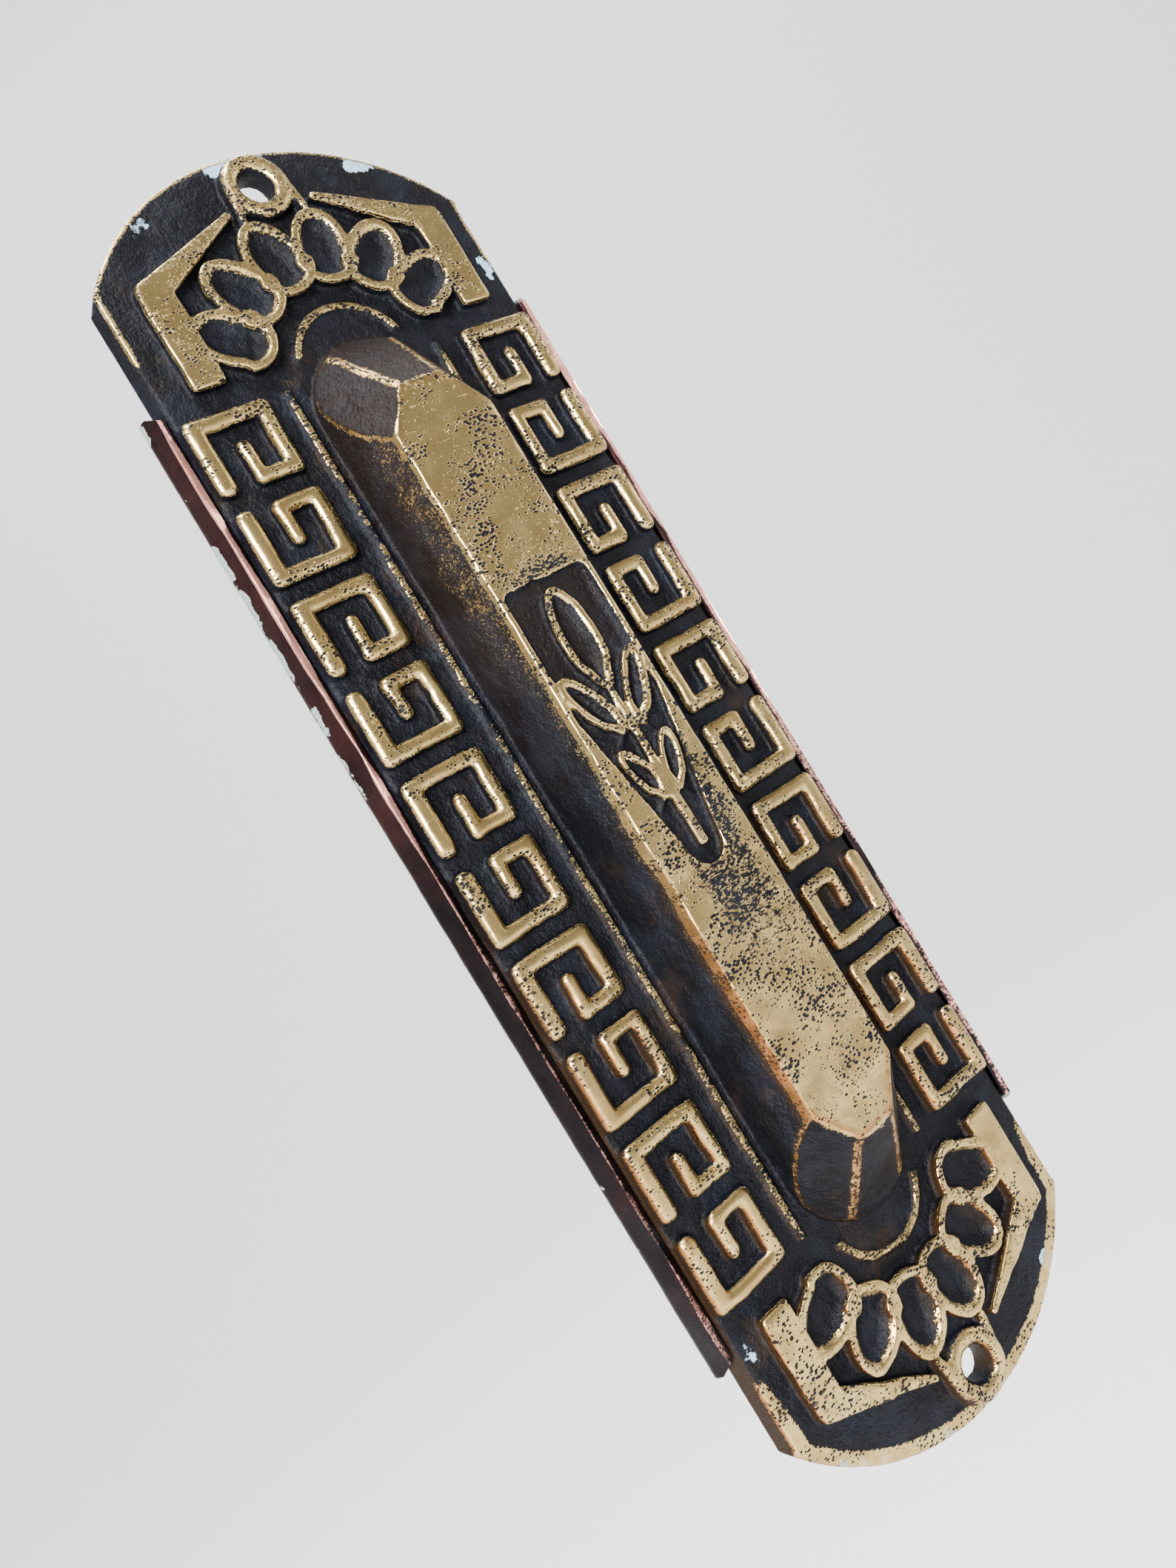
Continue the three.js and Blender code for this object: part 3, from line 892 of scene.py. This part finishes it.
def platePiece():
    s = coverSizes
    half, tip = s["backWidth"] / 2, s["length"] / 2
    shoulder = tip - s["endRise"]
    radius = (half ** 2 + s["endRise"] ** 2) / (2 * s["endRise"])
    bpy.ops.mesh.primitive_circle_add(
        vertices=s["endSteps"], radius=radius, fill_type="NGON",
        location=(0, -s["backHeight"], tip - radius), rotation=edgeOn,
    )
    obj = settle("coverPlate")
    sliceOff(obj, (0, 0, shoulder), (0, 0, 1), clear_inner=True)
    pickPoints(obj, lambda p: p.z < shoulder + 0.001)
    pull(0, 0, -shoulder)
    endEdit()
    applyModifier(obj, "MIRROR", use_axis=(False, False, True), merge_threshold=0.001)
    pickPoints(obj)
    pull(0, s["backHeight"] - s["frontHeight"], 0)
    endEdit()
    # the long sides are filed to a slope that the back's lips grip
    for side in (1, -1):
        pickPoints(obj, lambda p: p.y < front + 0.01 and p.x * side > half - 0.02
                   and abs(p.z) < shoulder + 0.01)
        bpy.ops.transform.translate(value=(-side * s["edgeSlope"], 0, 0))
        endEdit()
    turnFacesOut(obj)
    return obj


def oblongHull(name, outlines, steps=64):
    # outlines: (half width, end centre, y) of round-ended outlines, joined by a sloping wall
    rings = []
    for halfWidth, centre, y in outlines:
        for end in (1, -1):
            bpy.ops.mesh.primitive_circle_add(
                vertices=steps, radius=halfWidth, location=(0, y, end * centre), rotation=edgeOn,
            )
            rings.append(settle("hullRing"))
    obj = joinAll(rings, name)
    pickPoints(obj)
    bpy.ops.mesh.convex_hull()
    endEdit()
    return obj


def facetPlanes():
    # three flats across each round end: a point on each and the way it faces
    s = housingSizes
    planes = []
    for end in (1, -1):
        for step in (-1, 0, 1):
            turn = math.radians(step * s["facetTurn"])
            outward = Vector((math.sin(turn), 0, end * math.cos(turn)))
            footReach = (s["footEnd"] - s["topEnd"]) * math.cos(turn) + s["footHalfWidth"]
            footReach -= s["facetFootInset"]
            normal = outward * s["height"] + Vector((0, -(footReach - s["facetReach"]), 0))
            edge = Vector((0, roof, end * s["topEnd"])) + outward * s["facetReach"]
            planes.append((edge, normal.normalized()))
    return planes


def housingPiece():
    s = housingSizes
    outlines = [(s["footHalfWidth"], s["footEnd"], reliefFoot)]
    outlines += [(half, end, front - high) for half, end, high in s["shoulders"]]
    outlines += [(s["topHalfWidth"], s["topEnd"], roof)]
    obj = oblongHull("coverHousing", outlines)
    for edge, normal in facetPlanes():
        sliceOff(obj, edge, normal, use_fill=True, clear_outer=True)
    return obj


def fieldCutter():
    # a box above, a narrowing slot below it and a round foot
    s = sprigSizes
    low, high = roof - 1, fieldFloor
    wide, narrow = 2 * s["fieldWide"], 2 * s["fieldNarrow"]
    upper = bar("fieldUpper", (0, 3.0), (0, s["fieldTop"]), low, high, wide, wide, soft=0.6)
    lower = bar("fieldLower", (0, s["fieldFoot"]), (0, s["fieldBend"]), low, high, narrow, wide)
    foot = peg("fieldFoot", s["fieldNarrow"], high - low, (low + high) / 2, s["fieldFoot"], 40)
    cutWith(lower, foot, "UNION")
    cutWith(lower, upper, "UNION")
    return lower


def blankPiece():
    # plate and housing in one, hollow from the back, with the nail holes and the sunk field
    s, h, r = coverSizes, housingSizes, reliefSizes
    obj = platePiece()
    cutWith(obj, housingPiece(), "UNION")
    hollow = oblongHull("coverHollow", [
        (*h["cavityFoot"], -s["backHeight"]), (*h["cavityTop"], -s["backHeight"] - h["cavityDepth"]),
    ])
    pickPoints(hollow, lambda p: p.y > -s["backHeight"] - 0.01)
    pull(0, 0.6, 0)
    endEdit()
    cutWith(obj, hollow)
    for end in (1, -1):
        cutWith(obj, peg("nailDrill", r["nailHole"], 6, front, end * r["nailPlace"], 48))
    cutWith(obj, fieldCutter())
    return obj


def fretPieces():
    # square hooks along both sides, every second one turned round
    r = reliefSizes
    pitch = r["fretLength"] / r["fretUnits"]
    reach = (pitch - r["fretGap"] - r["stroke"]) / 2
    outer, inner = r["fretOuter"], r["fretInner"]
    middle = (outer + inner) / 2
    half = r["stroke"] / 2
    pieces = []
    for hand in (1, -1):
        path = [(outer, hand * reach), (outer, -hand * reach), (inner, -hand * reach),
                (inner, hand * reach), (middle, hand * reach), (middle, 0)]
        strokes = []
        for (x0, z0), (x1, z1), share in zip(path, path[1:], r["strokeWidths"]):
            run = math.hypot(x1 - x0, z1 - z0)
            ux, uz = (x1 - x0) / run * half, (z1 - z0) / run * half
            strokes.append(bar(
                "fretStroke", (x0 - ux, z0 - uz), (x1 + ux, z1 + uz), reliefFoot, reliefTop,
                r["stroke"] * share, soft=r["round"],
            ))
        unit = joinAll(strokes, "fretUnit")
        for i in range(0 if hand == 1 else 1, r["fretUnits"], 2):
            along = -r["fretLength"] / 2 + (i + 0.5) * pitch
            pieces.append(place(copyOf(unit), (0, 0, along)))
            pieces.append(place(copyOf(unit), (0, 0, -along), math.pi))
        bpy.data.objects.remove(unit, do_unlink=True)
    return pieces


def leafShape(length, width, rim, high, dip, pinch, blunt=0.0):
    # a raised leaf with a hollow face, drawn round its own middle at y from 0 down to -high
    bpy.ops.mesh.primitive_circle_add(vertices=36, radius=0.5, fill_type="NGON", rotation=edgeOn)
    obj = settle("leaf", (width, length, 1))
    for level, squeeze in ((-0.15, pinch + 0.22), (-0.32, pinch)):
        pickPoints(obj, lambda p: p.z < level * length)
        bpy.ops.transform.resize(value=(squeeze, 1, 1), center_override=(0, 0, 0))
        endEdit()
    if blunt:
        foot = -0.34 * length
        pickPoints(obj, lambda p: p.z < foot)
        bpy.ops.transform.resize(value=(1, 1, 1 - blunt), center_override=(0, 0, foot))
        endEdit()
    pickPoints(obj)
    pull(0, -high, 0)
    bpy.ops.mesh.inset(thickness=rim, depth=0)
    for inset in (rim * 0.5, width * 0.15):
        bpy.ops.mesh.inset(thickness=inset, depth=0)
        bpy.ops.transform.translate(value=(0, dip * 0.5, 0))
    endEdit()
    turnFacesOut(obj)
    return obj


def rosettePieces():
    r = reliefSizes
    pieces = []
    length = r["petalEnd"] - r["petalStart"]
    middle = (r["petalStart"] + r["petalEnd"]) / 2
    petal = leafShape(length, r["petalWidth"], r["petalRim"], r["height"] + r["sunk"], r["petalDip"],
                      pinch=0.96, blunt=0.35)
    for end in (1, -1):
        centre = end * r["rosetteEnd"]
        for i in range(-3, 3):
            turn = math.radians((0 if end == 1 else 180) + (i + 0.5) * r["petalPitch"])
            spot = (middle * math.sin(turn), reliefFoot, centre + middle * math.cos(turn))
            pieces.append(place(copyOf(petal), spot, turn))
        arc = wireRing("rosetteArc", r["arcRadius"], r["arcWire"], front - 0.02, centre, 96, 12)
        cut = (0, front, centre + end * r["arcFrom"])
        sliceOff(arc, cut, (0, 0, end), use_fill=True, clear_inner=True)
        pieces.append(arc)
    bpy.data.objects.remove(petal, do_unlink=True)
    return pieces


def gablePieces():
    # a broad leg beside the rosette and an arm that thins out towards the eyelet
    r = reliefSizes
    inner, outer = r["gableX"]
    width, middle = outer - inner, (inner + outer) / 2
    tipX, tipZ = r["gableTip"]
    pieces = []
    for end in (1, -1):
        for side in (1, -1):
            foot = (side * middle, end * r["gableFoot"])
            corner = (side * middle, end * (r["gableCorner"] - 0.15))
            pieces.append(bar("gableLeg", foot, corner, reliefFoot, reliefTop, width, soft=0.2))
            start = (side * (middle + 0.65), end * (r["gableCorner"] - 0.85))
            tip = (side * tipX, end * (tipZ - 0.1))
            pieces.append(bar("gableArm", start, tip, reliefFoot, reliefTop, *r["gableArm"], soft=0.15))
    return pieces


def eyeletPieces():
    r = reliefSizes
    wide, narrow, high = r["eyeletLeg"]
    pieces = []
    for end in (1, -1):
        z = end * r["nailPlace"]
        y = front - r["eyeletRise"]
        pieces.append(wireRing("eyelet", r["eyeletRadius"], r["eyeletWire"], y, z, 64, 16))
        for side in (1, -1):
            start = (side * (r["eyeletRadius"] + 0.05), z - end * 0.2)
            stop = (side * (r["eyeletRadius"] + 0.62), z - end * 2.6)
            pieces.append(bar("eyeletLeg", start, stop, reliefFoot, front - high, wide, narrow, soft=0.3))
    return pieces


def beadPieces():
    r = reliefSizes
    pieces = []
    for side in (1, -1):
        bpy.ops.mesh.primitive_cylinder_add(
            vertices=16, radius=r["beadRadius"], depth=r["fretLength"] - 1,
            location=(side * r["beadX"], front + 0.02, 0),
        )
        pieces.append(settle("bead"))
    return pieces


def sprigPieces():
    s = sprigSizes
    high, dip = s["leafHeight"]
    root = fieldFloor + 0.2
    pieces = []
    for x, z, length, width, lean in s["leaves"]:
        leaf = leafShape(length, width, min(s["wire"], 0.19 * width), high, dip, pinch=0.8)
        pieces.append(place(leaf, (x, root, z), math.radians(lean)))
    foot, top, footWidth, topWidth = s["stem"]
    stem = bar("sprigStem", (0, foot), (0, top), root, fieldFloor - 0.6, footWidth, topWidth, soft=0.22)
    pieces.append(stem)
    return pieces


def keepOutline(obj):
    # the wobble fades out towards the plate's rim, so that its outline stays true
    c = brassZones
    points, _, _ = meshArrays(obj.data)
    x, y, z = points.T
    arc = c["arcRadius"] - np.hypot(x, np.maximum(np.abs(z) - c["arcCentre"], 0))
    margin = np.minimum(c["halfWidth"] - np.abs(x), arc)
    level = np.round(8 * smoothstep(margin, 0.2, 1.8)).astype(int)
    group = obj.vertex_groups.new(name="awayFromRim")
    for step in range(9):
        group.add(np.flatnonzero(level == step).tolist(), 0.12 + 0.11 * step, "REPLACE")


def castTogether(obj):
    # one skin over everything, softened as a worn casting is
    s = coverSizes
    applyModifier(obj, "REMESH", mode="VOXEL", voxel_size=s["voxel"], adaptivity=0.0)
    say(f"cover remeshed, {len(obj.data.polygons)} faces")
    points, _, _ = meshArrays(obj.data)
    facetDepths = np.array([
        (points - np.array(edge)) @ np.array(normal) for edge, normal in facetPlanes()
    ])
    keepOutline(obj)
    roughen(obj, "handCutWobble", *s["wobble"], direction="RGB_TO_XYZ", group="awayFromRim")
    applyModifier(obj, "SMOOTH", factor=0.5, iterations=s["smoothing"])
    roughen(obj, "castDents", *s["dents"])
    coverWearAndShade(obj, facetDepths)
    applyModifier(obj, "DECIMATE", ratio=min(1.0, s["faces"] / (2 * len(obj.data.polygons))))
    say(f"cover thinned to {len(obj.data.polygons)} faces")


def ridges(points, normals, edges, rounds):
    # how far each point stands out of its smoothed surroundings, in the mesh's own units
    count = len(points)
    first, second = edges[:, 0], edges[:, 1]
    share = np.bincount(first, minlength=count) + np.bincount(second, minlength=count)
    share = np.maximum(share, 1)
    soft = points.copy()
    for _ in range(rounds):
        total = np.empty_like(soft)
        for axis in range(3):
            total[:, axis] = np.bincount(first, soft[second, axis], count)
            total[:, axis] += np.bincount(second, soft[first, axis], count)
        soft = 0.4 * soft + 0.6 * total / share[:, None]
    return ((points - soft) * normals).sum(axis=1)


coverMarks = {               # millimetres; pairs go from none to full
    "ridgeRounds": 14,
    "ridge": (0.045, 0.11),
    "facetRise": (0.3, 5.45),
    "facetDark": 0.85,
    "facetRim": (-0.27, -0.17),         # depth under a facet's plane
    "facetRimEnd": (-0.05, -0.01),
    "rimRise": (0.25, 0.7),
    "rimBright": 0.92,
    "rimWarm": (0.25, 0.45),            # at the upper end, and more at the lower
    "facetWarm": (0.30, -0.24),
    "fieldZ": (-8.5, 13.05),
    "fieldRise": 4.6,
    "sunkRise": (5.34, 5.52),
    "sprigRise": (5.40, 5.56),
    "lower": (-2, 16),                  # downwards
    "upper": (-2, 12),                  # upwards
    "leftward": (0.3, 0.8),
    # painted shade on the lower left-facing sides, and a warm tint on the upper flanks
    "warmTintAndShade": (0.85, 0.22),               # lower left sides, upper flanks
    "flankRise": 5.2,
    "flankWarmRise": (4.2, 4.9),
}


def coverWearAndShade(obj, facetDepths):
    # marks convex edges, the places that stay dark, and a warmer tone, painted as shade on the left-facing
    # sides of the lower half
    c, h, sprig = coverMarks, housingSizes, sprigSizes
    points, normals, edges = meshArrays(obj.data)
    x, y, z = points.T
    rise = front - y
    ridge = smoothstep(ridges(points, normals, edges, c["ridgeRounds"]), *c["ridge"])
    awayZ = np.maximum(np.abs(z) - h["footEnd"], 0)
    inHousing = (np.hypot(x, awayZ) < h["footHalfWidth"] + 0.15) & (rise > -0.2)
    facetFrom, facetTo = c["facetRise"]
    onFacet = inHousing & (facetDepths.max(axis=0) > -0.04) & (rise > facetFrom) & (rise < facetTo)
    rim = smoothstep(facetDepths, *c["facetRim"]) * (1 - smoothstep(facetDepths, *c["facetRimEnd"]))
    rim = rim.max(axis=0) * inHousing * smoothstep(rise, *c["rimRise"])
    taper = (z - sprig["fieldFoot"]) / (sprig["fieldBend"] - sprig["fieldFoot"])
    fieldHalf = sprig["fieldNarrow"] + (sprig["fieldWide"] - sprig["fieldNarrow"]) * np.clip(taper, 0, 1)
    fieldLow, fieldHigh = c["fieldZ"]
    inField = (np.abs(x) < fieldHalf + 0.05) & (z > fieldLow) & (z < fieldHigh)
    inField &= rise > c["fieldRise"]
    sunk = inField * (1 - smoothstep(rise, *c["sunkRise"]))
    dark = np.maximum(c["facetDark"] * onFacet, sunk)
    lower = smoothstep(-z, *c["lower"])
    leftSideShade, warmUpper = c["warmTintAndShade"]
    # painted shade: the left-facing sides of the lower half get a darker orange-brown tone
    warmTintAndShade = smoothstep(-normals[:, 0], *c["leftward"]) * lower * leftSideShade
    flankTintAndShade = warmTintAndShade * smoothstep(rise, *c["flankWarmRise"]) + warmUpper * smoothstep(z, *c["upper"])
    warmTintAndShade = np.where(inHousing & (rise < c["flankRise"]), flankTintAndShade, warmTintAndShade)
    for place, (start, more) in ((onFacet, c["facetWarm"]), (rim > 0.1, c["rimWarm"])):
        warmTintAndShade = np.where(place, start + more * lower, warmTintAndShade)
    ridge = np.maximum(ridge, c["rimBright"] * rim)
    ridge = np.where(inField, smoothstep(rise, *c["sprigRise"]), ridge)
    writeWearAndLight(obj.data, ridge, dark, warmTintAndShade)


def frontCover():
    pieces = [blankPiece()]
    say("cover blank")
    for maker in (fretPieces, rosettePieces, gablePieces, eyeletPieces, beadPieces, sprigPieces):
        pieces += maker()
    say("cover relief")
    cover = joinAll(pieces, "castCover")
    castTogether(cover)
    finishPiece(cover, agedBrass())
    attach(cover, "cover")
    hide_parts("front_cover")
    say("cover")


frontCover()


backSizes = {
    "thickness": 0.5,
    "foldStart": 14.92,      # where the flat sheet begins to bend
    "foldStep": 0.13,
    "folds": 6,
    "foldAngle": 19.13,      # degrees for each of the small folds
    "wallRows": (0.35, 0.40, 0.40, 0.28),
    "columns": 8,
    "rows": 96,
    "cornerRise": 1.2,       # the lips' ends are cut off slantwise above this height
    "cornerSlope": 0.75,
    "lipWave": (5.5, 2, 0.42),      # size, detail, strength
    "edgeRound": 0.11,
    "dents": (3.5, 3, 0.10),
}


def slidingBack():
    s = backSizes
    low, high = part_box("sliding_back")
    foot, head = low.z * 1000, high.z * 1000
    middle = -s["thickness"] / 2
    bpy.ops.mesh.primitive_grid_add(
        x_subdivisions=s["columns"], y_subdivisions=s["rows"], size=1,
        location=(0, middle, (foot + head) / 2), rotation=edgeOn,
    )
    obj = settle("copperBack", (2 * s["foldStart"], head - foot, 1))
    steps = [s["foldStep"]] * s["folds"] + list(s["wallRows"])
    for side in (1, -1):
        reach = s["foldStart"]
        for step in steps:
            pickPoints(obj, lambda p: p.x * side > reach - 0.01)
            pull(side * step, 0, 0)
            endEdit()
            reach += step
        # the outermost fold first, so that each turns all that lies beyond it
        for k in reversed(range(s["folds"])):
            line = s["foldStart"] + k * s["foldStep"]
            pickPoints(obj, lambda p: p.x * side > line + 0.01)
            bpy.ops.transform.rotate(
                value=math.radians(side * s["foldAngle"]), orient_axis="Z",
                center_override=(side * line, middle, 0),
            )
            endEdit()
    # slanting cuts take the corners off the lips
    for end, edge in ((1, head), (-1, foot)):
        sliceOff(obj, (0, -s["cornerRise"], edge), (0, -s["cornerSlope"], end), clear_outer=True)
    lip = obj.vertex_groups.new(name="lip")
    for v in obj.data.vertices:
        lip.add([v.index], float(np.clip((-v.co.y - 0.9) / 1.2, 0, 1)), "REPLACE")
    roughen(obj, "lipWaves", *s["lipWave"], direction="RGB_TO_XYZ", group="lip")
    applyModifier(obj, "SOLIDIFY", thickness=s["thickness"], offset=0)
    applyModifier(obj, "BEVEL", width=s["edgeRound"], segments=2, limit_method="ANGLE",
                  angle_limit=math.radians(50))
    applyModifier(obj, "SUBSURF", levels=1, render_levels=1)
    roughen(obj, "handBentDents", *s["dents"])
    backWearAndHighlight(obj)
    finishPiece(obj, tarnishedCopper())
    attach(obj, "back")
    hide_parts("sliding_back")
    say(f"sliding back, {len(obj.data.polygons)} faces")


def backWearAndHighlight(obj):
    # rubbed lips and bends, with a painted highlight along the lips' edges that is stronger towards the
    # top; a darker lower half; crusts along the foot of the walls
    points, _, _ = meshArrays(obj.data)
    x, y, z = points.T
    onWall = np.abs(x) > 14.0
    lipEdge = smoothstep(-y, 2.02, 2.2) * onWall
    upper = smoothstep(z, -8, 10)
    outerBend = smoothstep(y, -0.5, -0.1) * (np.abs(x) > 14.9)
    # painted highlight: the lip's edge is made bright copper, more so at the upper end, on top of the
    # rubbing
    rubbedAndHighlight = lipEdge * (0.46 + 0.42 * upper) + 0.30 * outerBend
    dark = np.where(onWall, 0.30 + 0.50 * (1 - upper), 0.35)
    crust = onWall * (smoothstep(y, -1.8, -0.7) * (0.55 + 0.45 * upper) + 0.05)
    writeWearAndLight(obj.data, rubbedAndHighlight, dark, crust)


slidingBack()


rollSizes = {
    "axisHeight": 3.6,
    "core": 0.9,
    "thickness": 0.28,
    "pitch": 0.38,
    "turns": 4.21,
    "stepsPerTurn": 22,
    "rows": 16,
    "slip": 0.5,             # how far the turns have slid along each other at the ends
    "edgeRound": 0.05,
    "ripple": (4.0, 2, 0.12),       # size, detail, strength
    "brownedEnd": 0.9,
}


def parchmentScroll():
    s = rollSizes
    low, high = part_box("parchment_scroll")
    foot, head = low.z * 1000 + 0.1, high.z * 1000 - 0.1
    bpy.ops.mesh.primitive_grid_add(
        x_subdivisions=1, y_subdivisions=s["rows"], size=1, location=(0, 0, (foot + head) / 2),
        rotation=edgeOn,
    )
    obj = settle("parchmentRoll", (1, head - foot, 1))
    steps = int(s["stepsPerTurn"] * s["turns"])

    def spot(k):
        turn = k / s["stepsPerTurn"] * 2 * math.pi
        radius = s["core"] + s["thickness"] / 2 + k / s["stepsPerTurn"] * s["pitch"]
        return Vector((radius * math.cos(turn), -s["axisHeight"] - radius * math.sin(turn), 0))

    # one long edge is drawn round and round; the grid's own strip is its first step
    for side, k in ((1, 1), (-1, 0)):
        pickPoints(obj, lambda p: p.x * side > 0.4)
        target = spot(k)
        bpy.ops.transform.translate(value=(target.x - side * 0.5, target.y, 0))
        endEdit()
    pickPoints(obj, lambda p: (p.xy - spot(1).xy).length < 0.001)
    for k in range(2, steps + 1):
        move = spot(k) - spot(k - 1)
        slip = s["slip"] / steps * math.sin(k * 0.11)
        pull(move.x, move.y, slip)
    endEdit()
    applyModifier(obj, "SOLIDIFY", thickness=s["thickness"], offset=0)
    applyModifier(obj, "BEVEL", width=s["edgeRound"], segments=1, limit_method="ANGLE",
                  angle_limit=math.radians(50))
    roughen(obj, "skinRipple", *s["ripple"], direction="RGB_TO_XYZ")
    points, _, _ = meshArrays(obj.data)
    half = (head - foot) / 2
    ends = smoothstep(np.abs(points[:, 2] - (foot + head) / 2), half - s["brownedEnd"], half)
    writeWearAndLight(obj.data, 0.75 * ends, 0 * ends, 0 * ends)
    finishPiece(obj, rolledSkin(), sharpAngle=40)
    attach(obj, "cover")
    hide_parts("parchment_scroll")
    say(f"parchment, {len(obj.data.polygons)} faces")


parchmentScroll()
